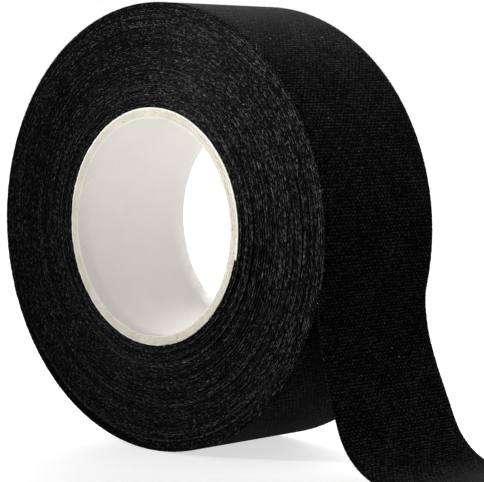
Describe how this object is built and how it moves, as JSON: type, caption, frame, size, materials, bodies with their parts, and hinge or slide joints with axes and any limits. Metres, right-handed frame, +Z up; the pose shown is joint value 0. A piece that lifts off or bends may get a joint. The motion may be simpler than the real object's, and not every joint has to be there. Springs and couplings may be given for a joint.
{
  "type": "grip tape roll",
  "caption": "Upright roll of black woven cotton grip tape on a paperboard core, its free end peeled off and draped onto the surface in front.",
  "frame": {"origin": "centre of the core's bore, halfway across the tape's width", "axes": "+Y along the roll's axis from the front edge to the back edge, +Z up, +X towards the side where the free end hangs"},
  "size_m": [0.1127, 0.025, 0.0724],
  "materials": {
    "core_liner_paper": "matte",
    "core_board": "matte",
    "core_face_paper": "matte",
    "wound_cloth": "matte",
    "cloth": "matte",
    "adhesive": "satin"
  },
  "bodies": {
    "roll": {"core_liner": "core_liner_paper", "core_board_ply_1": "core_board", "core_board_ply_2": "core_board", "core_board_ply_3": "core_board", "core_face_ply": "core_face_paper", "wound_tape": "wound_cloth", "outer_turn_cloth": "cloth", "outer_turn_adhesive": "adhesive"},
    "hanging_end": {"hanging_tape_cloth": "cloth", "hanging_tape_adhesive": "adhesive"},
    "lying_end": {"lying_tape_cloth": "cloth", "lying_tape_adhesive": "adhesive"}
  },
  "joints": [
    {"name": "tail_peel", "type": "hinge", "parent": "roll", "child": "hanging_end", "pos_m": [0.03543, 0, -0.00818], "axis": [0, -1, 0], "range_deg": [0, 100]},
    {"name": "tail_fold", "type": "hinge", "parent": "hanging_end", "child": "lying_end", "pos_m": [0.04931, 0, -0.03593], "axis": [0, -1, 0], "range_deg": [-60, 60]}
  ]
}
